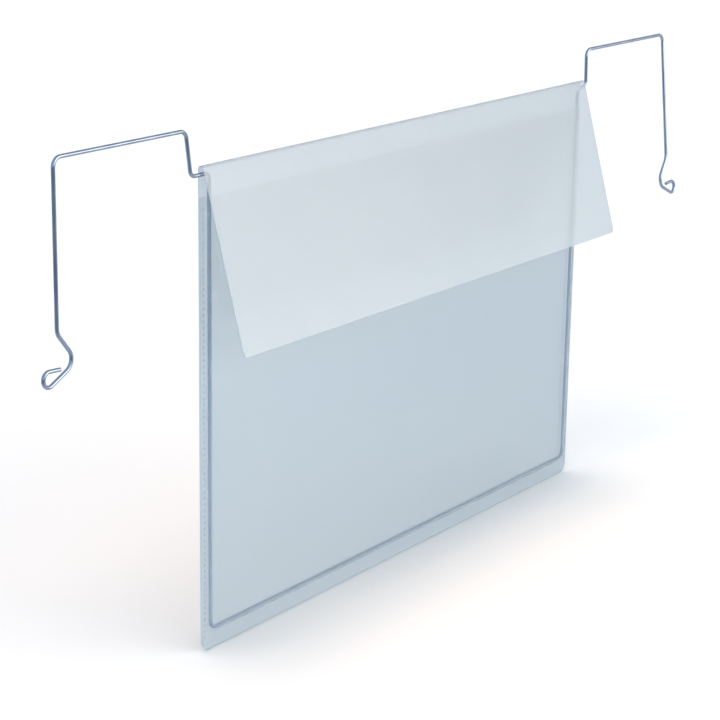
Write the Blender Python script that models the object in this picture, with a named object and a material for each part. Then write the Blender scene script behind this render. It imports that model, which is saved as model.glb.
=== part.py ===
"""Hanging document pocket: a landscape pocket of clear film with a rain flap, on a bent wire frame with two hooks.

Metres, +Z up, +X to the viewer's right and -Y to the front. The origin is midway between the two hooks, in the
wire's own plane and level with the underside of the hook bars, where the pocket hangs.
"""

import math

import bmesh
import bpy
from mathutils import Matrix, Vector

# The wire
WIRE_DIAMETER = 0.0018
FRAME_WIDTH = 0.312  # between the centre lines of the two legs inside the pocket
FRAME_DROP = 0.213  # from the top of the fold down to the bottom run's centre line
FRAME_CORNER_RADIUS = 0.004
JOG_BELOW_FOLD = 0.0038  # from the top of the fold down to the jog's centre line
JOG_RADIUS = 0.003
STEM_RISE = 0.020  # from the jog up to the hook bar
BEND_RADIUS = 0.004  # at both ends of a hook bar
HOOK_SPAN = 0.502  # between the centre lines of the two hooks' outer legs
LEG_DROP = 0.071  # from the hook bar down to the kick

# The two hooks are bent by hand and differ a little: how far the jog reaches out, how far the stem leans out
# and how far the outer leg leans to the front
JOG_REACH = {"left": 0.012, "right": 0.009}
STEM_LEAN = {"left": math.radians(9.0), "right": math.radians(-2.0)}
LEG_LEAN = {"left": math.radians(0.0), "right": math.radians(5.5)}

# The kick and the teardrop eye that ends each hook, measured from the leg's lower end
LEG_END_RADIUS = 0.006
KICK_IN = 0.011
KICK_DROP = 0.0135
KICK_RADIUS = 0.0054
EYE_OUT = 0.0052
EYE_DROP = 0.0177
EYE_RADIUS = 0.00325
EYE_TAIL = 0.0063
TAIL_DIP = math.radians(4.0)

# The film
FILM = 0.0003
SIDE_FLANGE = 0.0053  # from a leg's centre line out to the film's edge
BOTTOM_FLANGE = 0.010  # from the bottom run's centre line down to the film's edge
FILM_CORNER_RADIUS = 0.005
MOUTH_DROP = 0.014  # from the top of the fold down to the front panel's upper edge
SEAM_INSET = 0.0024  # from the wire's centre line out to where the welded border starts
RUN_OUT = 0.0074  # from the wire's centre line in to where the front panel lies flat again
POCKET_GAP = 0.0006  # the room for a sheet between the two panels
FLAP_LENGTH = 0.0825
FLAP_TILT = math.radians(15.7)  # from hanging straight down, to the front
FLAP_CORNER_RADIUS = 0.0025

# Fits
WIRE_CLEARANCE = 0.00025  # between the wire and the film drawn over it
WELD_GAP = 0.00025  # between the two panels along the welded border
WIRE_SPLIT_GAP = 0.0003  # between the frame and a hook, where the one wire is parted in the model
FOLD_GAP = 0.0003  # between the fold's front lip and the flap
HINGE_STAND_OFF = 0.0003  # from the flap's middle plane out to the axis that it turns about

# How finely round stretches are divided
BEND_STEP = math.radians(15.0)
CORNER_STEPS = 5
BEAD_STEPS = 6
FOLD_STEPS = 10
WIRE_ROUND_STEPS = 2

# Worked out from the sizes above
WIRE_RADIUS = WIRE_DIAMETER / 2
BAR_Z = WIRE_RADIUS
JOG_Z = BAR_Z - STEM_RISE
FOLD_TOP_Z = JOG_Z + JOG_BELOW_FOLD
BOTTOM_RUN_Z = FOLD_TOP_Z - FRAME_DROP
FILM_BOTTOM_Z = BOTTOM_RUN_Z - BOTTOM_FLANGE
MOUTH_Z = FOLD_TOP_Z - MOUTH_DROP
SPLIT_Z = (MOUTH_Z + JOG_Z - JOG_RADIUS) / 2
FILM_WIDTH = FRAME_WIDTH + 2 * SIDE_FLANGE
WRAP_RADIUS = WIRE_RADIUS + WIRE_CLEARANCE + FILM / 2
BACK_Y = WRAP_RADIUS
FOLD_Z = FOLD_TOP_Z - WRAP_RADIUS - FILM / 2
BORDER_Y = BACK_Y - FILM - WELD_GAP
PANEL_Y = BACK_Y - FILM - POCKET_GAP


def clear_scene():
    for old in list(bpy.data.objects):
        bpy.data.objects.remove(old, do_unlink=True)


def material(name, colour, roughness, metallic, alpha=1.0):
    made = bpy.data.materials.new(name)
    made.use_nodes = True
    shader = made.node_tree.nodes["Principled BSDF"]
    shader.inputs["Base Color"].default_value = (*colour, 1.0)
    shader.inputs["Roughness"].default_value = roughness
    shader.inputs["Metallic"].default_value = metallic
    shader.inputs["Alpha"].default_value = alpha
    return made


def rounded_corner(before, corner, after, radius):
    """The points of an arc that rounds a corner between two straight stretches."""
    arriving = (corner - before).normalized()
    leaving = (after - corner).normalized()
    turn = arriving.angle(leaving)
    inward = (leaving - arriving).normalized()
    centre = corner + inward * radius / math.cos(turn / 2)
    start = corner - arriving * radius * math.tan(turn / 2)
    axis = arriving.cross(leaving).normalized()
    steps = max(2, math.ceil(turn / BEND_STEP))
    arc = []
    for step in range(steps + 1):
        spun = Matrix.Rotation(turn * step / steps, 3, axis) @ (start - centre)
        arc.append(centre + spun)
    return arc


def bent_path(corners):
    """A wire's centre line through (point, bend radius) pairs. Its two ends have no bend."""
    path = [corners[0][0]]
    for (before, _), (corner, radius), (after, _) in zip(corners, corners[1:], corners[2:]):
        path += rounded_corner(before, corner, after, radius)
    path.append(corners[-1][0])
    return path


def wire(name, path, finish):
    """A round wire along a centre line, as a bevelled curve with closed ends."""
    curve = bpy.data.curves.new(name, "CURVE")
    curve.dimensions = "3D"
    curve.bevel_depth = WIRE_RADIUS
    curve.bevel_resolution = WIRE_ROUND_STEPS
    curve.use_fill_caps = True
    spline = curve.splines.new("POLY")
    spline.points.add(len(path) - 1)
    for point, place in zip(spline.points, path):
        point.co = (*place, 1.0)
    spline.use_smooth = True
    curve.materials.append(finish)
    made = bpy.data.objects.new(name, curve)
    bpy.context.scene.collection.objects.link(made)
    return made


def wire_frame(finish):
    """The U inside the pocket: down one leg, along the bottom and up the other."""
    half = FRAME_WIDTH / 2
    corners = [
        (Vector((-half, 0, SPLIT_Z)), 0),
        (Vector((-half, 0, BOTTOM_RUN_Z)), FRAME_CORNER_RADIUS),
        (Vector((half, 0, BOTTOM_RUN_Z)), FRAME_CORNER_RADIUS),
        (Vector((half, 0, SPLIT_Z)), 0),
    ]
    return wire("wire_frame", bent_path(corners), finish)


def eye_path(kick_corner, eye_centre, out, down):
    """The round end of the teardrop eye and its straight tail, reached from the kick along a tangent."""
    reach = eye_centre - kick_corner
    dip = math.atan2(reach.dot(down), reach.dot(out)) + math.asin(EYE_RADIUS / reach.length)
    turn = dip + math.pi + TAIL_DIP
    steps = math.ceil(turn / BEND_STEP)
    path = []
    for step in range(steps + 1):
        heading = dip - turn * step / steps
        side = down * math.cos(heading) - out * math.sin(heading)
        path.append(eye_centre + side * EYE_RADIUS)
    tail = out * math.cos(dip - turn) + down * math.sin(dip - turn)
    path.append(path[-1] + tail * EYE_TAIL)
    return path


def hook(side, finish):
    """A jog out from under the fold, a stem, a bar and an outer leg that ends in a teardrop eye."""
    sign = -1 if side == "left" else 1
    out = Vector((sign, 0, 0))
    up = Vector((0, 0, 1))
    down = Vector((0, -math.sin(LEG_LEAN[side]), -math.cos(LEG_LEAN[side])))
    leg_foot = out * FRAME_WIDTH / 2 + up * (SPLIT_Z + WIRE_SPLIT_GAP)
    jog_inner = out * FRAME_WIDTH / 2 + up * JOG_Z
    jog_outer = jog_inner + out * JOG_REACH[side]
    stem_top = jog_outer + up * STEM_RISE + out * STEM_RISE * math.tan(STEM_LEAN[side])
    bar_end = out * HOOK_SPAN / 2 + up * BAR_Z
    leg_end = bar_end + down * LEG_DROP
    kick_corner = leg_end - out * KICK_IN + down * KICK_DROP
    eye_centre = leg_end + out * EYE_OUT + down * EYE_DROP
    eye = eye_path(kick_corner, eye_centre, out, down)
    corners = [
        (leg_foot, 0),
        (jog_inner, JOG_RADIUS),
        (jog_outer, JOG_RADIUS),
        (stem_top, BEND_RADIUS),
        (bar_end, BEND_RADIUS),
        (leg_end, LEG_END_RADIUS),
        (kick_corner, KICK_RADIUS),
        (eye[0], 0),
    ]
    return wire(f"{side}_hook", bent_path(corners) + eye[1:], finish)


def film_sheet(name, shape, finish):
    """A sheet of film whose middle surface is the given bmesh."""
    bmesh.ops.recalc_face_normals(shape, faces=shape.faces)
    mesh = bpy.data.meshes.new(name)
    shape.to_mesh(mesh)
    shape.free()
    mesh.shade_smooth()
    mesh.materials.append(finish)
    made = bpy.data.objects.new(name, mesh)
    bpy.context.scene.collection.objects.link(made)
    thickness = made.modifiers.new("film", "SOLIDIFY")
    thickness.thickness = FILM
    thickness.offset = 0
    thickness.use_even_offset = True
    return made


def u_line(half_width, bottom, radius, y, top):
    """Points down one side, round two rounded corners and up the other side."""
    points = [Vector((-half_width, y, top))]
    for sign, start in ((-1, math.pi), (1, 1.5 * math.pi)):
        centre = Vector((sign * (half_width - radius), y, bottom + radius))
        for step in range(CORNER_STEPS + 1):
            angle = start + math.pi / 2 * step / CORNER_STEPS
            points.append(centre + Vector((math.cos(angle), 0, math.sin(angle))) * radius)
    points.append(Vector((half_width, y, top)))
    return points


def touch_angle(across, y):
    """Where a line from this point of the section touches the film's circle round the wire, on its front side."""
    point_angle = math.atan2(y, across)
    swing = math.acos(WRAP_RADIUS / math.hypot(across, y))
    return min((point_angle + swing, point_angle - swing), key=math.sin)


def bead_section():
    """(distance out from the wire, depth) across the front panel where it is drawn over the wire."""
    outer = touch_angle(SEAM_INSET, BORDER_Y) % (2 * math.pi)
    inner = touch_angle(-RUN_OUT, PANEL_Y) % (2 * math.pi)
    section = [(SEAM_INSET, BORDER_Y)]
    for step in range(BEAD_STEPS + 1):
        angle = outer + (inner - outer) * step / BEAD_STEPS
        section.append((WRAP_RADIUS * math.cos(angle), WRAP_RADIUS * math.sin(angle)))
    section.append((-RUN_OUT, PANEL_Y))
    return section


def front_panel(finish):
    """The front of the pocket: a welded border, a bead over the wire on three sides and a flat middle."""
    half = FRAME_WIDTH / 2
    lines = [u_line(FILM_WIDTH / 2, FILM_BOTTOM_Z, FILM_CORNER_RADIUS, BORDER_Y, MOUTH_Z)]
    for out, y in bead_section():
        radius = max(FRAME_CORNER_RADIUS + out, FILM_CORNER_RADIUS / 2)
        lines.append(u_line(half + out, BOTTOM_RUN_Z - out, radius, y, MOUTH_Z))
    shape = bmesh.new()
    rows = [[shape.verts.new(point) for point in line] for line in lines]
    for outer, inner in zip(rows, rows[1:]):
        for i in range(len(outer) - 1):
            shape.faces.new((outer[i], outer[i + 1], inner[i + 1], inner[i]))
    shape.faces.new(rows[-1])
    return film_sheet("front_panel", shape, finish)


def back_panel(finish):
    """The flat back of the pocket and the round fold at its top, up to where the flap begins."""
    shape = bmesh.new()
    outline = u_line(FILM_WIDTH / 2, FILM_BOTTOM_Z, FILM_CORNER_RADIUS, BACK_Y, FOLD_Z)
    corners = [shape.verts.new(point) for point in outline]
    shape.faces.new(corners)
    left, right = corners[0], corners[-1]
    for step in range(1, FOLD_STEPS + 1):
        angle = (math.pi - FLAP_TILT) * step / FOLD_STEPS
        y = WRAP_RADIUS * math.cos(angle)
        z = FOLD_Z + WRAP_RADIUS * math.sin(angle)
        next_left = shape.verts.new((-FILM_WIDTH / 2, y, z))
        next_right = shape.verts.new((FILM_WIDTH / 2, y, z))
        shape.faces.new((left, right, next_right, next_left))
        left, right = next_left, next_right
    return film_sheet("back_panel", shape, finish)


def flap(finish):
    """The rain flap, hung from an axis that runs along the front of the fold."""
    shape = bmesh.new()
    outline = u_line(FILM_WIDTH / 2, -FLAP_LENGTH, FLAP_CORNER_RADIUS, HINGE_STAND_OFF, -FOLD_GAP / 2)
    shape.faces.new([shape.verts.new(point) for point in outline])
    made = film_sheet("flap", shape, finish)
    front = Vector((0, -math.cos(FLAP_TILT), math.sin(FLAP_TILT)))
    along = Vector((0, -math.sin(FLAP_TILT), -math.cos(FLAP_TILT)))
    fold_centre = Vector((0, 0, FOLD_Z))
    made.location = fold_centre + front * (WRAP_RADIUS + HINGE_STAND_OFF) + along * FOLD_GAP / 2
    made.rotation_euler = (-FLAP_TILT, 0, 0)
    return made


def main():
    clear_scene()
    clear_film = material("clear_film", (0.74, 0.82, 0.86), 0.35, 0.0, alpha=0.45)
    flap_film = material("flap_film", (0.80, 0.86, 0.90), 0.42, 0.0, alpha=0.6)
    steel = material("bright_steel_wire", (0.56, 0.62, 0.70), 0.25, 1.0)
    back_panel(clear_film)
    front_panel(clear_film)
    flap(flap_film)
    wire_frame(steel)
    for side in ("left", "right"):
        hook(side, steel)


main()
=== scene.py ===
"""Hanging document pocket: film, wire, finishes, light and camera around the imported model."""

import math

import bmesh
import bpy
import numpy as np
from mathutils import Matrix, Vector, noise


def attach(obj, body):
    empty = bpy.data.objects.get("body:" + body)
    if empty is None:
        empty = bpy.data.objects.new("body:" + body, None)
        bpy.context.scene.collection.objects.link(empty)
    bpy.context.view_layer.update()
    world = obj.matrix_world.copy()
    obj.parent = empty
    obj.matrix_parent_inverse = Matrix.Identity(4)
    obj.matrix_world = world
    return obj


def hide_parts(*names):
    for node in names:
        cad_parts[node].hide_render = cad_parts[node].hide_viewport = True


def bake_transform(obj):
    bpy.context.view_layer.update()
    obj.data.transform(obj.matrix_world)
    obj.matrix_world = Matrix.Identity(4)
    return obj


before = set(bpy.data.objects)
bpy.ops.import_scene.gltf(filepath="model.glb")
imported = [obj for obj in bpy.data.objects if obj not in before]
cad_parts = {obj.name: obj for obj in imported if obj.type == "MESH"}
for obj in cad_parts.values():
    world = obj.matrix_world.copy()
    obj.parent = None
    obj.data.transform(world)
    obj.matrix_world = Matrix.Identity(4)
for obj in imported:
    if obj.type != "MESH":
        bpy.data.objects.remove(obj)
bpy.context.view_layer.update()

# The wire, as in the part's source
WIRE_RADIUS = 0.0009
FRAME_WIDTH = 0.312
FRAME_DROP = 0.213
FRAME_CORNER_RADIUS = 0.004
JOG_BELOW_FOLD = 0.0038
JOG_RADIUS = 0.003
STEM_RISE = 0.020
BEND_RADIUS = 0.004
HOOK_SPAN = 0.502
LEG_DROP = 0.071
JOG_REACH = {"left": 0.012, "right": 0.009}
STEM_LEAN = {"left": math.radians(9.0), "right": math.radians(-2.0)}
LEG_LEAN = {"left": math.radians(0.0), "right": math.radians(5.5)}
LEG_END_RADIUS = 0.006
KICK_IN = 0.011
KICK_DROP = 0.0135
KICK_RADIUS = 0.0054
EYE_OUT = 0.0052
EYE_DROP = 0.0177
EYE_RADIUS = 0.00325
EYE_TAIL = 0.0063
TAIL_DIP = math.radians(4.0)

# The film, as in the part's source
FILM = 0.0003
SIDE_FLANGE = 0.0053
BOTTOM_FLANGE = 0.010
FILM_CORNER_RADIUS = 0.005
MOUTH_DROP = 0.014
SEAM_INSET = 0.0024
RUN_OUT = 0.0074
POCKET_GAP = 0.0006
FLAP_LENGTH = 0.0825
FLAP_TILT = math.radians(15.7)
FLAP_CORNER_RADIUS = 0.0025
WIRE_CLEARANCE = 0.00025
WELD_GAP = 0.00025
FOLD_GAP = 0.0003

# The pressed dots of the side seams
DOT_PITCH = 0.0029
DOT_WIDTH = 0.0017
DOT_LENGTH = 0.0021
DOT_DEPTH = 0.00024
DOT_FROM_EDGE = 0.0023
DOTS_BELOW_MOUTH = 0.004
DOTS_ABOVE_BOTTOM = 0.003
DOT_HAZE_FROM = 0.35

# The film's own unevenness, and the stretch from its held edge over which it grows to that
FLAP_RIPPLE = 0.0007
FLAP_RIPPLE_GROWS = 0.06
FRONT_RIPPLE = 0.00035
FRONT_RIPPLE_GROWS = 0.03
BACK_RIPPLE = 0.00012
FLAP_SEED = 2.0
BACK_SEED = 5.0
FRONT_SEED = 9.0

# That unevenness is broad waves with a share of fine ones, in waves to the metre across and up
BROAD_WAVES = (9, 11)
FINE_WAVES = (31, 37)
FINE_SEED = 7.3
FINE_SHARE = 0.2

# Below the jogs, where the wire begins to look dull and to take its painted veil under the film, and
# where it has done so fully
VEIL_AND_DULL_FROM = 0.008
VEIL_AND_DULL_TO = 0.05

# Film finishes: clear and hazy tint, least and greatest roughness, and the share of light let through
CLEAR_FILM = ((0.955, 0.98, 0.99), (0.975, 0.99, 0.995), 0.06, 0.10, 0.92)
FLAP_FILM = ((0.85, 0.898, 0.925), (0.89, 0.934, 0.96), 0.09, 0.13, 0.77)
FILM_WELD = ((0.93, 0.96, 0.97), (0.96, 0.98, 0.99), 0.10, 0.14, 0.78)
FILM_EDGE = ((0.60, 0.69, 0.74), (0.66, 0.74, 0.79), 0.40, 0.50, 0.0)

# The wire's two tones, bare, on the legs under the film and along the bottom run under it. Under the
# film they are paler, a painted veil of light scattered by the film, and along the bottom run darker
# than on the legs, painted shade
BARE_TONES = ((0.36, 0.42, 0.53), (0.52, 0.58, 0.68))
LEG_PAINTED_VEIL_TONES = ((0.70, 0.80, 0.96), (0.78, 0.88, 1.0))
BOTTOM_SHADED_PAINTED_VEIL_TONES = ((0.48, 0.59, 0.74), (0.57, 0.68, 0.83))
COVERED_ROUGHNESS = 0.75

# Worked out from the sizes above
BAR_Z = WIRE_RADIUS
JOG_Z = BAR_Z - STEM_RISE
FOLD_TOP_Z = JOG_Z + JOG_BELOW_FOLD
BOTTOM_RUN_Z = FOLD_TOP_Z - FRAME_DROP
FILM_BOTTOM_Z = BOTTOM_RUN_Z - BOTTOM_FLANGE
MOUTH_Z = FOLD_TOP_Z - MOUTH_DROP
FILM_WIDTH = FRAME_WIDTH + 2 * SIDE_FLANGE
WRAP_RADIUS = WIRE_RADIUS + WIRE_CLEARANCE + FILM / 2
BACK_Y = WRAP_RADIUS
FOLD_Z = FOLD_TOP_Z - WRAP_RADIUS - FILM / 2
BORDER_Y = BACK_Y - FILM - WELD_GAP
PANEL_Y = BACK_Y - FILM - POCKET_GAP

# The floor: white as seen directly, and a grey that glows by distance, left and right, to all other rays
FLOOR_BELOW = 0.0004
FLOOR_HALF = 6.0
FLOOR_WHITE = (0.822, 0.866, 0.884)
FLOOR_GREY = (0.13, 0.17, 0.22)
SWEEP_AWAY = (0.82, 0.57)
SWEEP_HALF = 0.12
SWEEP_FROM = -0.6
SWEEP_NEAR = -0.2
SWEEP_TO = 1.4
SWEEP_TINT = (0.91, 0.993, 1.03)
SWEEP_LEFT = [(-0.5, 0.06), (-0.2, 0.50), (0.3, 0.56), (0.9, 0.54), (1.15, 0.42)]
SWEEP_RIGHT = [(-0.5, 0.06), (-0.2, 0.47), (0.25, 0.45), (0.6, 0.49), (1.15, 0.44)]

# The dome as light and as it is reflected
# Each glow: direction, cosines where it begins and where it is full, colour
# Each lamp: name, direction of its light, spread in degrees, colour
DOME = (0.13, 0.37, 0.56)
DOME_SHINE = (0.40, 0.45, 0.53)
GLOWS = [
    ((-0.45, -0.8, 0.4), 0.2, 1.0, (0.10, 0.24, 0.32)),
    ((0.5, -0.866, 0.1), 0.78, 1.0, (2.80, 2.46, 2.08)),
]
LAMPS = [
    ("rear_lamp", (0.02, -0.105, -1.0), 24, (1.44, 0.97, 0.68)),
    ("front_lamp", (-0.06, 0.26, -1.0), 32, (0.90, 0.61, 0.43)),
    ("side_lamp", (0.80, 0.22, -1.0), 24, (1.06, 0.72, 0.51)),
]

# The photograph's camera, fitted to the frame's straight edges
CAMERA_PLACE = (-0.84952, -0.57256, 0.15536)
CAMERA_TURN = math.radians(-54.640)
CAMERA_LIFT = math.radians(15.944)
CAMERA_ROLL = math.radians(0.912)
CAMERA_LENS = 106.93

# How finely round stretches are divided, and where a rounded corner has its points
BEND_STEP = math.radians(6.0)
LEAST_BEND_STEPS = 4
WIRE_SIDES = 16
FOLD_STEPS = 24
BEAD_STEPS = 12
CORNER_SHARES = (0, 0.02, 0.07, 0.16, 0.3, 0.5, 0.73, 1)
SHARP_ANGLE = math.radians(50)

# The wire's cut ends: how far they bulge and how wide they stay, as shares of its radius
END_BULGE = 0.18
END_WIDTH = 0.78

# The longest steps of the rear film's mesh, which is finer just past the fold
REAR_COLUMN_STEP = 0.007
BACK_ROW_STEP = 0.006
FLAP_ROW_STEP = 0.005
PAST_FOLD = 0.004
PAST_FOLD_STEP = 0.0004

# The front film's mesh: places in from the side edge, over the dots, over the wire and inside the frame
EDGE_PLACES = (0, 0.0005, 0.001)
DOT_BAND = (0.0014, 0.0032)
DOT_BAND_STEP = 0.0003
BEAD_HALF = 0.0019
BEAD_STEP = 0.00032
BOTTOM_BEAD = (-0.0027, 0.0021)
SLOPE_FROM = 0.0026
SLOPE_STEP = 0.0012
SLOPE_END = 0.010
MIDDLE_HALF = 0.146
MIDDLE_STEP = 0.0086
ROWS_PER_DOT = 4
CLOSEST_STEP = 0.0002

# Most of a noise texture's values lie between these
NOISE_LOW = 0.3
NOISE_HIGH = 0.7

# Sockets of a Mix node, whose names repeat between its kinds
COLOUR_A = 6
COLOUR_B = 7
COLOUR_OUT = 2
FLOAT_A = 2
FLOAT_B = 3
FLOAT_OUT = 0


# Meshes

def add_piece(name, shape, finish, body=None):
    """A smooth-shaded object from a bmesh, riding on a body unless it bends between two."""
    bmesh.ops.recalc_face_normals(shape, faces=shape.faces)
    mesh = bpy.data.meshes.new(name)
    shape.to_mesh(mesh)
    shape.free()
    mesh.shade_smooth()
    mesh.materials.append(finish)
    piece = bpy.data.objects.new(name, mesh)
    bpy.context.scene.collection.objects.link(piece)
    if body:
        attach(piece, body)
    return piece


def thicken(piece, cut_edge):
    """Gives a sheet of film its thickness, half on each side, as plain mesh with a cut edge."""
    piece.data.materials.append(cut_edge)
    solid = piece.modifiers.new("film", "SOLIDIFY")
    solid.thickness = FILM
    solid.offset = 0
    solid.use_even_offset = True
    solid.material_offset_rim = len(piece.data.materials) - 1
    depsgraph = bpy.context.evaluated_depsgraph_get()
    mesh = bpy.data.meshes.new_from_object(piece.evaluated_get(depsgraph))
    piece.modifiers.clear()
    old = piece.data
    piece.data = mesh
    bpy.data.meshes.remove(old)
    mesh.name = piece.name
    mesh.set_sharp_from_angle(angle=SHARP_ANGLE)


def rounded_corner(before, corner, after, radius):
    """The points of an arc that rounds a corner between two straight stretches."""
    arriving = (corner - before).normalized()
    leaving = (after - corner).normalized()
    turn = arriving.angle(leaving)
    inward = (leaving - arriving).normalized()
    centre = corner + inward * radius / math.cos(turn / 2)
    start = corner - arriving * radius * math.tan(turn / 2)
    axis = arriving.cross(leaving).normalized()
    steps = max(LEAST_BEND_STEPS, math.ceil(turn / BEND_STEP))
    arc = []
    for step in range(steps + 1):
        spun = Matrix.Rotation(turn * step / steps, 3, axis) @ (start - centre)
        arc.append(centre + spun)
    return arc


def bent_path(corners):
    """A wire's centre line through (point, bend radius) pairs. Its two ends have no bend."""
    path = [corners[0][0]]
    for (before, _), (corner, radius), (after, _) in zip(corners, corners[1:], corners[2:]):
        path += rounded_corner(before, corner, after, radius)
    path.append(corners[-1][0])
    return path


def eye_path(kick_corner, eye_centre, out, down):
    """The round end of the teardrop eye and its straight tail, reached from the kick along a tangent."""
    reach = eye_centre - kick_corner
    dip = math.atan2(reach.dot(down), reach.dot(out)) + math.asin(EYE_RADIUS / reach.length)
    turn = dip + math.pi + TAIL_DIP
    steps = math.ceil(turn / BEND_STEP)
    path = []
    for step in range(steps + 1):
        heading = dip - turn * step / steps
        side = down * math.cos(heading) - out * math.sin(heading)
        path.append(eye_centre + side * EYE_RADIUS)
    tail = out * math.cos(dip - turn) + down * math.sin(dip - turn)
    path.append(path[-1] + tail * EYE_TAIL)
    return path


def hook_corners(side):
    """The corners from the top of a frame leg out to the eye, and the eye's own points."""
    sign = -1 if side == "left" else 1
    out = Vector((sign, 0, 0))
    up = Vector((0, 0, 1))
    down = Vector((0, -math.sin(LEG_LEAN[side]), -math.cos(LEG_LEAN[side])))
    jog_inner = out * FRAME_WIDTH / 2 + up * JOG_Z
    jog_outer = jog_inner + out * JOG_REACH[side]
    stem_top = jog_outer + up * STEM_RISE + out * STEM_RISE * math.tan(STEM_LEAN[side])
    bar_end = out * HOOK_SPAN / 2 + up * BAR_Z
    leg_end = bar_end + down * LEG_DROP
    kick_corner = leg_end - out * KICK_IN + down * KICK_DROP
    eye_centre = leg_end + out * EYE_OUT + down * EYE_DROP
    eye = eye_path(kick_corner, eye_centre, out, down)
    corners = [
        (jog_inner, JOG_RADIUS),
        (jog_outer, JOG_RADIUS),
        (stem_top, BEND_RADIUS),
        (bar_end, BEND_RADIUS),
        (leg_end, LEG_END_RADIUS),
        (kick_corner, KICK_RADIUS),
        (eye[0], 0),
    ]
    return corners, eye


def wire_path():
    """The whole wire's centre line, from the left eye through the pocket to the right eye."""
    left, left_eye = hook_corners("left")
    right, right_eye = hook_corners("right")
    half = FRAME_WIDTH / 2
    bottom = [
        (Vector((-half, 0, BOTTOM_RUN_Z)), FRAME_CORNER_RADIUS),
        (Vector((half, 0, BOTTOM_RUN_Z)), FRAME_CORNER_RADIUS),
    ]
    middle = bent_path(left[::-1] + bottom + right)
    return left_eye[:0:-1] + middle + right_eye[1:]


def swept_wire(path, radius, sides):
    """A round wire along a path, with its two cut ends slightly rounded over."""
    tangents = []
    for i in range(len(path)):
        before = path[max(i - 1, 0)]
        after = path[min(i + 1, len(path) - 1)]
        tangents.append((after - before).normalized())
    across = tangents[0].orthogonal().normalized()
    rings = [(path[0] - tangents[0] * radius * END_BULGE, tangents[0], END_WIDTH)]
    rings += [(place, along, 1.0) for place, along in zip(path, tangents)]
    rings.append((path[-1] + tangents[-1] * radius * END_BULGE, tangents[-1], END_WIDTH))
    shape = bmesh.new()
    rows = []
    for place, along, share in rings:
        across = (across - along * across.dot(along)).normalized()
        other = along.cross(across)
        row = []
        for k in range(sides):
            angle = 2 * math.pi * k / sides
            spoke = across * math.cos(angle) + other * math.sin(angle)
            row.append(shape.verts.new(place + spoke * radius * share))
        rows.append(row)
    for first, second in zip(rows, rows[1:]):
        for k in range(sides):
            n = (k + 1) % sides
            shape.faces.new((first[k], first[n], second[n], second[k]))
    shape.faces.new(rows[0])
    shape.faces.new(rows[-1])
    return shape


def even_steps(first, last, longest):
    """Numbers from first to last, evenly spaced at no more than the longest step."""
    count = max(1, math.ceil(abs(last - first) / longest))
    return [first + (last - first) * i / count for i in range(count + 1)]


def corner_pull(from_edge, radius):
    """How far a rounded corner pulls the side edge in, at a distance from the end edge."""
    if from_edge >= radius:
        return 0.0
    return radius - math.sqrt(radius * radius - (radius - from_edge) ** 2)


def ripple(x, z, seed):
    """A gentle unevenness of the film, from -1 to 1, some ten centimetres across."""
    broad = noise.noise(Vector((x * BROAD_WAVES[0], z * BROAD_WAVES[1], seed)))
    fine = noise.noise(Vector((x * FINE_WAVES[0], z * FINE_WAVES[1], seed + FINE_SEED)))
    return (1 - FINE_SHARE) * broad + FINE_SHARE * fine


def rear_film_line():
    """Places along the rear film, from its bottom edge over the fold to the flap's edge.

    Each is (y, z, normal, how far a rounded corner pulls the side edge in).
    """
    line = []
    back = [FILM_BOTTOM_Z + FILM_CORNER_RADIUS * share for share in CORNER_SHARES]
    back += even_steps(back[-1], FOLD_Z, BACK_ROW_STEP)[1:]
    for z in back:
        pull = corner_pull(z - FILM_BOTTOM_Z, FILM_CORNER_RADIUS)
        line.append((BACK_Y, z, Vector((0, 1, 0)), pull))
    for step in range(1, FOLD_STEPS + 1):
        angle = (math.pi - FLAP_TILT) * step / FOLD_STEPS
        normal = Vector((0, math.cos(angle), math.sin(angle)))
        line.append((WRAP_RADIUS * normal.y, FOLD_Z + WRAP_RADIUS * normal.z, normal, 0.0))
    start_y, start_z, normal, _ = line[-1]
    length = FLAP_LENGTH + FOLD_GAP / 2
    down = even_steps(0, PAST_FOLD, PAST_FOLD_STEP)[1:]
    down += even_steps(PAST_FOLD, length - FLAP_CORNER_RADIUS, FLAP_ROW_STEP)[1:]
    down += [length - FLAP_CORNER_RADIUS * share for share in CORNER_SHARES[-2::-1]]
    for run in down:
        y = start_y - run * math.sin(FLAP_TILT)
        z = start_z - run * math.cos(FLAP_TILT)
        line.append((y, z, normal, corner_pull(length - run, FLAP_CORNER_RADIUS)))
    return line


def rear_film(back_finish, flap_finish, cut_edge):
    """One sheet: the flat back, the rounded fold at its top and the more frosted rain flap."""
    shape = bmesh.new()
    half = FILM_WIDTH / 2
    columns = even_steps(-half, half, REAR_COLUMN_STEP)
    rows = []
    for y, z, normal, pull in rear_film_line():
        row = []
        for x in columns:
            place = Vector((x * (half - pull) / half, y, z))
            if normal.y < 0:
                hang = min(1.0, max(0.0, (FOLD_Z - z) / FLAP_RIPPLE_GROWS))
                place += normal * FLAP_RIPPLE * hang * ripple(x, z, FLAP_SEED)
            elif normal.y == 1:
                place += normal * BACK_RIPPLE * (1 + ripple(x, z, BACK_SEED))
            row.append(shape.verts.new(place))
        rows.append(row)
    for first, second in zip(rows, rows[1:]):
        past_fold = first[0].co.y < 0
        for i in range(len(columns) - 1):
            face = shape.faces.new((first[i], first[i + 1], second[i + 1], second[i]))
            face.material_index = int(past_fold)
    piece = add_piece("rear_film", shape, back_finish)
    piece.data.materials.append(flap_finish)
    thicken(piece, cut_edge)
    return piece


def touch_angle(across, y):
    """Where a line from a point of the section touches the film's circle round the wire, in front."""
    point_angle = math.atan2(y, across)
    swing = math.acos(WRAP_RADIUS / math.hypot(across, y))
    return min((point_angle + swing, point_angle - swing), key=math.sin)


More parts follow.
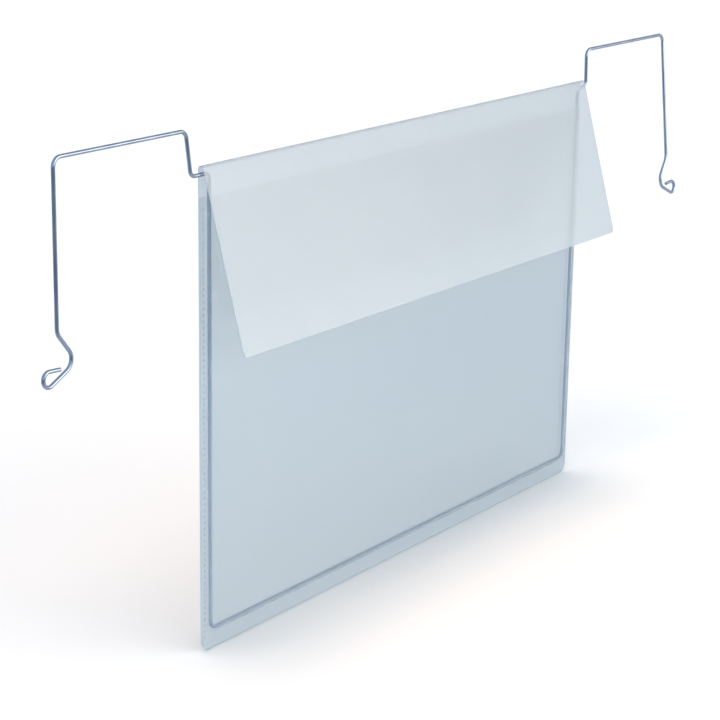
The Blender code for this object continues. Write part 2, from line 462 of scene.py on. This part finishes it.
def bead_section():
    """(distance in from the wire, depth) across the front film where it is drawn over the wire."""
    outer = touch_angle(SEAM_INSET, BORDER_Y) % (2 * math.pi)
    inner = touch_angle(-RUN_OUT, PANEL_Y) % (2 * math.pi)
    section = [(-SIDE_FLANGE - BOTTOM_FLANGE, BORDER_Y), (-SEAM_INSET, BORDER_Y)]
    for step in range(BEAD_STEPS + 1):
        angle = outer + (inner - outer) * step / BEAD_STEPS
        section.append((-WRAP_RADIUS * math.cos(angle), WRAP_RADIUS * math.sin(angle)))
    section.append((RUN_OUT, PANEL_Y))
    section.append((FRAME_WIDTH, PANEL_Y))
    return section


def inside_wire(x, z):
    """How far a point of the front lies inside the frame's centre line, with its rounded corners."""
    side = abs(x) - (FRAME_WIDTH / 2 - FRAME_CORNER_RADIUS)
    low = BOTTOM_RUN_Z + FRAME_CORNER_RADIUS - z
    if side > 0 and low > 0:
        return FRAME_CORNER_RADIUS - math.hypot(side, low)
    return FRAME_CORNER_RADIUS - max(side, low)


def pressed_dot(x, z, dot_x, first_z, last_z):
    """How deep a dot of the side seam is pressed at a point, from 0 to 1."""
    if not last_z <= z <= first_z:
        return 0.0
    along = (first_z - z) / DOT_PITCH
    along = (along - math.floor(along) - 0.5) * DOT_PITCH
    across = abs(x) - dot_x
    if abs(across) > DOT_WIDTH / 2 or abs(along) > DOT_LENGTH / 2:
        return 0.0
    return math.cos(math.pi * across / DOT_WIDTH) * math.cos(math.pi * along / DOT_LENGTH)


def merged_steps(values, closest):
    """Sorted values without those that come closer than a distance to the one before."""
    kept = []
    for value in sorted(values):
        if not kept or value - kept[-1] >= closest:
            kept.append(value)
    return kept


def front_film(finish, dot_finish, cut_edge):
    """The front: seamed borders with hazy dots, a bead over the wire on three sides, a flat middle."""
    half = FILM_WIDTH / 2
    wire_x = FRAME_WIDTH / 2
    dot_x = half - DOT_FROM_EDGE
    section_in, section_y = zip(*bead_section())
    first_dot = MOUTH_Z - DOTS_BELOW_MOUTH
    dots = math.floor((first_dot - FILM_BOTTOM_Z - DOTS_ABOVE_BOTTOM) / DOT_PITCH)
    last_dot = first_dot - dots * DOT_PITCH

    side = [half - step for step in EDGE_PLACES]
    side += even_steps(half - DOT_BAND[0], half - DOT_BAND[1], DOT_BAND_STEP)
    side += even_steps(wire_x + BEAD_HALF, wire_x - BEAD_HALF, BEAD_STEP)
    side += even_steps(wire_x - SLOPE_FROM, wire_x - RUN_OUT, SLOPE_STEP) + [wire_x - SLOPE_END]
    middle = even_steps(-MIDDLE_HALF, MIDDLE_HALF, MIDDLE_STEP)
    columns = merged_steps([-x for x in side] + side + middle, CLOSEST_STEP)

    rows = [FILM_BOTTOM_Z + FILM_CORNER_RADIUS * share for share in CORNER_SHARES]
    rows += even_steps(FILM_BOTTOM_Z + FILM_CORNER_RADIUS, MOUTH_Z, DOT_PITCH / ROWS_PER_DOT)
    rows += even_steps(BOTTOM_RUN_Z + BOTTOM_BEAD[0], BOTTOM_RUN_Z + BOTTOM_BEAD[1], BEAD_STEP)
    rows = merged_steps(rows, CLOSEST_STEP)
    rows[-1] = MOUTH_Z

    shape = bmesh.new()
    lines = []
    for z in rows:
        pull = corner_pull(z - FILM_BOTTOM_Z, FILM_CORNER_RADIUS)
        line = []
        for x in columns:
            x_here = x * (half - pull) / half
            inside = inside_wire(x_here, z)
            y = float(np.interp(inside, section_in, section_y))
            y += DOT_DEPTH * pressed_dot(x_here, z, dot_x, first_dot, last_dot)
            slack = min(1.0, max(0.0, (inside - RUN_OUT) / FRONT_RIPPLE_GROWS))
            y -= FRONT_RIPPLE * slack * (1 + ripple(x, z, FRONT_SEED))
            line.append(shape.verts.new((x_here, y, z)))
        lines.append(line)
    for first, second in zip(lines, lines[1:]):
        for i in range(len(columns) - 1):
            face = shape.faces.new((first[i], first[i + 1], second[i + 1], second[i]))
            centre = face.calc_center_median()
            pressed = pressed_dot(centre.x, centre.z, dot_x, first_dot, last_dot)
            face.material_index = int(pressed > DOT_HAZE_FROM)
    piece = add_piece("front_film", shape, finish)
    piece.data.materials.append(dot_finish)
    thicken(piece, cut_edge)
    return piece


# Finishes

def group_socket(group, name, kind, direction, default=None):
    """Adds an input or an output to a node group."""
    socket = group.interface.new_socket(name=name, in_out=direction, socket_type=kind)
    if default is not None:
        socket.default_value = default


def add_node(tree, kind, **settings):
    """A new node in a tree, with its settings."""
    node = tree.nodes.new(kind)
    for key, value in settings.items():
        setattr(node, key, value)
    return node


def film_haze_group():
    """Frosted film: slow clouds of haze in the colour and the gloss, and a fine pressed grain."""
    group = bpy.data.node_groups.new("film_haze", "ShaderNodeTree")
    group_socket(group, "Clear Tint", "NodeSocketColor", "INPUT", (0.7, 0.8, 0.85, 1))
    group_socket(group, "Hazy Tint", "NodeSocketColor", "INPUT", (0.8, 0.86, 0.9, 1))
    group_socket(group, "Smooth", "NodeSocketFloat", "INPUT", 0.25)
    group_socket(group, "Rough", "NodeSocketFloat", "INPUT", 0.35)
    group_socket(group, "Colour", "NodeSocketColor", "OUTPUT")
    group_socket(group, "Roughness", "NodeSocketFloat", "OUTPUT")
    group_socket(group, "Grain", "NodeSocketFloat", "OUTPUT")
    given = add_node(group, "NodeGroupInput")
    result = add_node(group, "NodeGroupOutput")
    place = add_node(group, "ShaderNodeTexCoord")
    clouds = add_node(group, "ShaderNodeTexNoise")
    clouds.inputs["Scale"].default_value = 14
    clouds.inputs["Detail"].default_value = 4
    clouds.inputs["Roughness"].default_value = 0.55
    grain = add_node(group, "ShaderNodeTexNoise")
    grain.inputs["Scale"].default_value = 2600
    grain.inputs["Detail"].default_value = 2
    tint = add_node(group, "ShaderNodeMix", data_type="RGBA")
    gloss = add_node(group, "ShaderNodeMapRange")
    gloss.inputs["From Min"].default_value = NOISE_LOW
    gloss.inputs["From Max"].default_value = NOISE_HIGH
    link = group.links.new
    link(place.outputs["Object"], clouds.inputs["Vector"])
    link(place.outputs["Object"], grain.inputs["Vector"])
    link(clouds.outputs["Fac"], tint.inputs["Factor"])
    link(given.outputs["Clear Tint"], tint.inputs[COLOUR_A])
    link(given.outputs["Hazy Tint"], tint.inputs[COLOUR_B])
    link(clouds.outputs["Fac"], gloss.inputs["Value"])
    link(given.outputs["Smooth"], gloss.inputs["To Min"])
    link(given.outputs["Rough"], gloss.inputs["To Max"])
    link(tint.outputs[COLOUR_OUT], result.inputs["Colour"])
    link(gloss.outputs["Result"], result.inputs["Roughness"])
    link(grain.outputs["Fac"], result.inputs["Grain"])
    return group


def film_finish(name, haze, clear, hazy, smooth, rough, passing):
    """Frosted clear film that lets part of the light through and scatters the rest."""
    finish = bpy.data.materials.new(name)
    finish.use_nodes = True
    tree = finish.node_tree
    shader = tree.nodes["Principled BSDF"]
    shader.inputs["IOR"].default_value = 1.49
    shader.inputs["Transmission Weight"].default_value = passing
    film = add_node(tree, "ShaderNodeGroup", node_tree=haze)
    film.inputs["Clear Tint"].default_value = (*clear, 1)
    film.inputs["Hazy Tint"].default_value = (*hazy, 1)
    film.inputs["Smooth"].default_value = smooth
    film.inputs["Rough"].default_value = rough
    bump = add_node(tree, "ShaderNodeBump")
    bump.inputs["Strength"].default_value = 0.015
    bump.inputs["Distance"].default_value = 0.0001
    link = tree.links.new
    link(film.outputs["Colour"], shader.inputs["Base Color"])
    link(film.outputs["Roughness"], shader.inputs["Roughness"])
    link(film.outputs["Grain"], bump.inputs["Height"])
    link(bump.outputs["Normal"], shader.inputs["Normal"])
    return finish


def steel_tone(tree, low, high):
    """A ramp between the two tones of the wire's smudges."""
    tone = add_node(tree, "ShaderNodeValToRGB")
    tone.color_ramp.elements[0].position = NOISE_LOW
    tone.color_ramp.elements[0].color = (*low, 1)
    tone.color_ramp.elements[1].position = NOISE_HIGH
    tone.color_ramp.elements[1].color = (*high, 1)
    return tone


def steel_finish():
    """Bright drawn steel wire with faint marks and smudges. Under the film it is dull, and paler from a
    painted veil of light scattered by the film.

    That begins below the jogs, and along the bottom run the painted veil is weaker, a painted shade
    darker than on the legs.
    """
    finish = bpy.data.materials.new("bright_steel_wire")
    finish.use_nodes = True
    tree = finish.node_tree
    shader = tree.nodes["Principled BSDF"]
    shader.inputs["Metallic"].default_value = 1.0
    place = add_node(tree, "ShaderNodeTexCoord")
    smudges = add_node(tree, "ShaderNodeTexNoise")
    smudges.inputs["Scale"].default_value = 90
    smudges.inputs["Detail"].default_value = 5
    open_tone = steel_tone(tree, *BARE_TONES)
    # Under the film the wire's tones are paler, a painted veil of light scattered by the film, and along
    # the bottom run darker, painted shade
    leg_veil_tone = steel_tone(tree, *LEG_PAINTED_VEIL_TONES)
    bottom_shaded_veil_tone = steel_tone(tree, *BOTTOM_SHADED_PAINTED_VEIL_TONES)
    open_gloss = add_node(tree, "ShaderNodeMapRange")
    open_gloss.inputs["To Min"].default_value = 0.10
    open_gloss.inputs["To Max"].default_value = 0.20
    apart = add_node(tree, "ShaderNodeSeparateXYZ")
    from_middle = add_node(tree, "ShaderNodeMath", operation="ABSOLUTE")
    covered = add_node(tree, "ShaderNodeMapRange")
    covered.inputs["From Min"].default_value = FRAME_WIDTH / 2 + 4 * WIRE_RADIUS
    covered.inputs["From Max"].default_value = FRAME_WIDTH / 2 + WIRE_RADIUS
    # Below the jogs the painted veil and the dull gloss fade in
    veil_and_dull_fade = add_node(tree, "ShaderNodeMapRange")
    veil_and_dull_fade.inputs["From Min"].default_value = JOG_Z - VEIL_AND_DULL_FROM
    veil_and_dull_fade.inputs["From Max"].default_value = JOG_Z - VEIL_AND_DULL_TO
    under = add_node(tree, "ShaderNodeMath", operation="MULTIPLY")
    # Along the bottom run the painted veil turns to its darker tones, painted shade
    low = add_node(tree, "ShaderNodeMapRange")
    low.inputs["From Min"].default_value = BOTTOM_RUN_Z + 6 * WIRE_RADIUS
    low.inputs["From Max"].default_value = BOTTOM_RUN_Z + WIRE_RADIUS
    painted_veil_tone = add_node(tree, "ShaderNodeMix", data_type="RGBA")
    tone = add_node(tree, "ShaderNodeMix", data_type="RGBA")
    gloss = add_node(tree, "ShaderNodeMix", data_type="FLOAT")
    gloss.inputs[FLOAT_B].default_value = COVERED_ROUGHNESS
    marks = add_node(tree, "ShaderNodeTexNoise")
    marks.inputs["Scale"].default_value = 1400
    bump = add_node(tree, "ShaderNodeBump")
    bump.inputs["Strength"].default_value = 0.08
    bump.inputs["Distance"].default_value = 0.0001
    link = tree.links.new
    link(place.outputs["Object"], smudges.inputs["Vector"])
    link(place.outputs["Object"], marks.inputs["Vector"])
    link(place.outputs["Object"], apart.inputs["Vector"])
    link(apart.outputs["X"], from_middle.inputs[0])
    link(from_middle.outputs["Value"], covered.inputs["Value"])
    link(smudges.outputs["Fac"], open_tone.inputs["Fac"])
    link(smudges.outputs["Fac"], leg_veil_tone.inputs["Fac"])
    link(smudges.outputs["Fac"], bottom_shaded_veil_tone.inputs["Fac"])
    link(apart.outputs["Z"], low.inputs["Value"])
    link(low.outputs["Result"], painted_veil_tone.inputs["Factor"])
    link(leg_veil_tone.outputs["Color"], painted_veil_tone.inputs[COLOUR_A])
    link(bottom_shaded_veil_tone.outputs["Color"], painted_veil_tone.inputs[COLOUR_B])
    link(apart.outputs["Z"], veil_and_dull_fade.inputs["Value"])
    link(covered.outputs["Result"], under.inputs[0])
    link(veil_and_dull_fade.outputs["Result"], under.inputs[1])
    link(under.outputs["Value"], tone.inputs["Factor"])
    link(open_tone.outputs["Color"], tone.inputs[COLOUR_A])
    link(painted_veil_tone.outputs[COLOUR_OUT], tone.inputs[COLOUR_B])
    link(tone.outputs[COLOUR_OUT], shader.inputs["Base Color"])
    link(smudges.outputs["Fac"], open_gloss.inputs["Value"])
    link(under.outputs["Value"], gloss.inputs["Factor"])
    link(open_gloss.outputs["Result"], gloss.inputs[FLOAT_A])
    link(gloss.outputs[FLOAT_OUT], shader.inputs["Roughness"])
    link(marks.outputs["Fac"], bump.inputs["Height"])
    link(bump.outputs["Normal"], shader.inputs["Normal"])
    return finish


# Floor, light and camera

def sweep_tone(tree, tones):
    """A ramp of the floor's own glow by distance, from pairs of metres and strength."""
    tone = add_node(tree, "ShaderNodeValToRGB")
    tone.color_ramp.elements.remove(tone.color_ramp.elements[1])
    for index, (away, strength) in enumerate(tones):
        at = (away - SWEEP_FROM) / (SWEEP_TO - SWEEP_FROM)
        stop = tone.color_ramp.elements[0] if index == 0 else tone.color_ramp.elements.new(at)
        stop.position = at
        stop.color = (*[strength * part for part in SWEEP_TINT], 1)
    return tone


def floor():
    """A plain pale floor just under the pocket.

    It shows white. Through the film and in reflections it is a soft grey sweep with its own glow.
    The sweep's dark near side is kept out of what shows through the film, which stays even, and bare
    wire reflects it.
    """
    mesh = bpy.data.meshes.new("floor")
    half = FLOOR_HALF
    z = FILM_BOTTOM_Z - FLOOR_BELOW
    corners = [(-half, -half, z), (half, -half, z), (half, half, z), (-half, half, z)]
    mesh.from_pydata(corners, [], [(0, 1, 2, 3)])
    ground = bpy.data.objects.new("floor", mesh)
    bpy.context.scene.collection.objects.link(ground)
    finish = bpy.data.materials.new("pale_floor")
    finish.use_nodes = True
    tree = finish.node_tree
    tree.nodes.remove(tree.nodes["Principled BSDF"])
    link = tree.links.new
    seen = add_node(tree, "ShaderNodeLightPath")
    white = add_node(tree, "ShaderNodeBsdfDiffuse")
    white.inputs["Color"].default_value = (*FLOOR_WHITE, 1)
    place = add_node(tree, "ShaderNodeTexCoord")
    across = add_node(tree, "ShaderNodeVectorMath", operation="DOT_PRODUCT")
    across.inputs[1].default_value = (-SWEEP_AWAY[1], SWEEP_AWAY[0], 0)
    side = add_node(tree, "ShaderNodeMapRange", interpolation_type="SMOOTHSTEP")
    side.inputs["From Min"].default_value = SWEEP_HALF
    side.inputs["From Max"].default_value = -SWEEP_HALF
    away = add_node(tree, "ShaderNodeVectorMath", operation="DOT_PRODUCT")
    away.inputs[1].default_value = (*SWEEP_AWAY, 0)
    nearest = add_node(tree, "ShaderNodeMapRange")
    nearest.inputs["To Min"].default_value = SWEEP_FROM
    nearest.inputs["To Max"].default_value = SWEEP_NEAR
    within = add_node(tree, "ShaderNodeMath", operation="MAXIMUM")
    share = add_node(tree, "ShaderNodeMapRange")
    share.inputs["From Min"].default_value = SWEEP_FROM
    share.inputs["From Max"].default_value = SWEEP_TO
    blend = add_node(tree, "ShaderNodeMix", data_type="RGBA")
    for tones, socket in ((SWEEP_LEFT, COLOUR_A), (SWEEP_RIGHT, COLOUR_B)):
        tone = sweep_tone(tree, tones)
        link(share.outputs["Result"], tone.inputs["Fac"])
        link(tone.outputs["Color"], blend.inputs[socket])
    lit = add_node(tree, "ShaderNodeEmission")
    grey = add_node(tree, "ShaderNodeBsdfDiffuse")
    grey.inputs["Color"].default_value = (*FLOOR_GREY, 1)
    through = add_node(tree, "ShaderNodeAddShader")
    mix = add_node(tree, "ShaderNodeMixShader")
    link(place.outputs["Object"], across.inputs[0])
    link(across.outputs["Value"], side.inputs["Value"])
    link(side.outputs["Result"], blend.inputs["Factor"])
    link(place.outputs["Object"], away.inputs[0])
    link(seen.outputs["Is Transmission Ray"], nearest.inputs["Value"])
    link(away.outputs["Value"], within.inputs[0])
    link(nearest.outputs["Result"], within.inputs[1])
    link(within.outputs["Value"], share.inputs["Value"])
    link(blend.outputs[COLOUR_OUT], lit.inputs["Color"])
    link(lit.outputs["Emission"], through.inputs[0])
    link(grey.outputs["BSDF"], through.inputs[1])
    link(seen.outputs["Is Camera Ray"], mix.inputs["Fac"])
    link(through.outputs["Shader"], mix.inputs[1])
    link(white.outputs["BSDF"], mix.inputs[2])
    link(mix.outputs["Shader"], tree.nodes["Material Output"].inputs["Surface"])
    mesh.materials.append(finish)


def studio():
    """An even dome with broad glows in it, as from soft boxes and cards, and three broad soft lamps.

    The dome is white where the camera sees it, more neutral in reflections and blue as light.
    """
    world = bpy.data.worlds.new("studio")
    bpy.context.scene.world = world
    world.use_nodes = True
    tree = world.node_tree
    link = tree.links.new
    place = add_node(tree, "ShaderNodeTexCoord")
    seen = add_node(tree, "ShaderNodeLightPath")
    dome = add_node(tree, "ShaderNodeMix", data_type="RGBA")
    dome.inputs[COLOUR_A].default_value = (*DOME, 1)
    dome.inputs[COLOUR_B].default_value = (*DOME_SHINE, 1)
    link(seen.outputs["Is Glossy Ray"], dome.inputs["Factor"])
    total = add_node(tree, "ShaderNodeVectorMath", operation="ADD")
    link(dome.outputs[COLOUR_OUT], total.inputs[0])
    for toward, start, end, colour in GLOWS:
        angle = add_node(tree, "ShaderNodeVectorMath", operation="DOT_PRODUCT")
        angle.inputs[1].default_value = Vector(toward).normalized()
        spread = add_node(tree, "ShaderNodeMapRange", interpolation_type="SMOOTHSTEP")
        spread.inputs["From Min"].default_value = start
        spread.inputs["From Max"].default_value = end
        glow = add_node(tree, "ShaderNodeVectorMath", operation="SCALE")
        glow.inputs[0].default_value = colour
        link(place.outputs["Generated"], angle.inputs[0])
        link(angle.outputs["Value"], spread.inputs["Value"])
        link(spread.outputs["Result"], glow.inputs["Scale"])
        link(glow.outputs["Vector"], total.inputs[1])
        both = total
        total = add_node(tree, "ShaderNodeVectorMath", operation="ADD")
        link(both.outputs["Vector"], total.inputs[0])
    shown = add_node(tree, "ShaderNodeMix", data_type="RGBA")
    shown.inputs[COLOUR_B].default_value = (1, 1, 1, 1)
    link(seen.outputs["Is Camera Ray"], shown.inputs["Factor"])
    link(total.outputs["Vector"], shown.inputs[COLOUR_A])
    link(shown.outputs[COLOUR_OUT], tree.nodes["Background"].inputs["Color"])

    for name, travel, spread, colour in LAMPS:
        light = bpy.data.lights.new(name, "SUN")
        light.energy = 1.0
        light.angle = math.radians(spread)
        light.color = colour
        lamp = bpy.data.objects.new(name, light)
        lamp.rotation_euler = Vector(travel).to_track_quat("-Z", "Y").to_euler()
        lamp.visible_glossy = False
        bpy.context.scene.collection.objects.link(lamp)


def photo_camera():
    """The photograph's camera, looking at the pocket from its left and from above."""
    camera = bpy.data.objects.new("photo_camera", bpy.data.cameras.new("photo_camera"))
    bpy.context.scene.collection.objects.link(camera)
    camera.data.sensor_width = 36
    camera.data.lens = CAMERA_LENS
    camera.data.clip_end = 50
    right = Vector((math.cos(CAMERA_TURN), math.sin(CAMERA_TURN), 0))
    level = math.cos(CAMERA_LIFT)
    back = Vector((
        math.sin(CAMERA_TURN) * level,
        -math.cos(CAMERA_TURN) * level,
        math.sin(CAMERA_LIFT),
    ))
    up = back.cross(right)
    rolled_right = right * math.cos(CAMERA_ROLL) + up * math.sin(CAMERA_ROLL)
    rolled_up = up * math.cos(CAMERA_ROLL) - right * math.sin(CAMERA_ROLL)
    turned = Matrix((rolled_right, rolled_up, back)).transposed().to_4x4()
    camera.matrix_world = Matrix.Translation(CAMERA_PLACE) @ turned
    bpy.context.scene.camera = camera


def main():
    scene = bpy.context.scene
    scene.view_settings.view_transform = "Standard"
    haze = film_haze_group()
    clear = film_finish("clear_film", haze, *CLEAR_FILM)
    frosted = film_finish("flap_film", haze, *FLAP_FILM)
    welded = film_finish("film_weld", haze, *FILM_WELD)
    cut_edge = film_finish("film_edge", haze, *FILM_EDGE)
    steel = steel_finish()

    wire = add_piece("bent_wire", swept_wire(wire_path(), WIRE_RADIUS, WIRE_SIDES), steel, "pocket")
    wire.data.set_sharp_from_angle(angle=SHARP_ANGLE)
    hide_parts("wire_frame", "left_hook", "right_hook")

    front = front_film(clear, welded, cut_edge)
    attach(front, "pocket")
    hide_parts("front_panel")

    rear = rear_film(clear, frosted, cut_edge)
    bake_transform(rear)
    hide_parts("back_panel", "flap")

    floor()
    studio()
    photo_camera()


main()
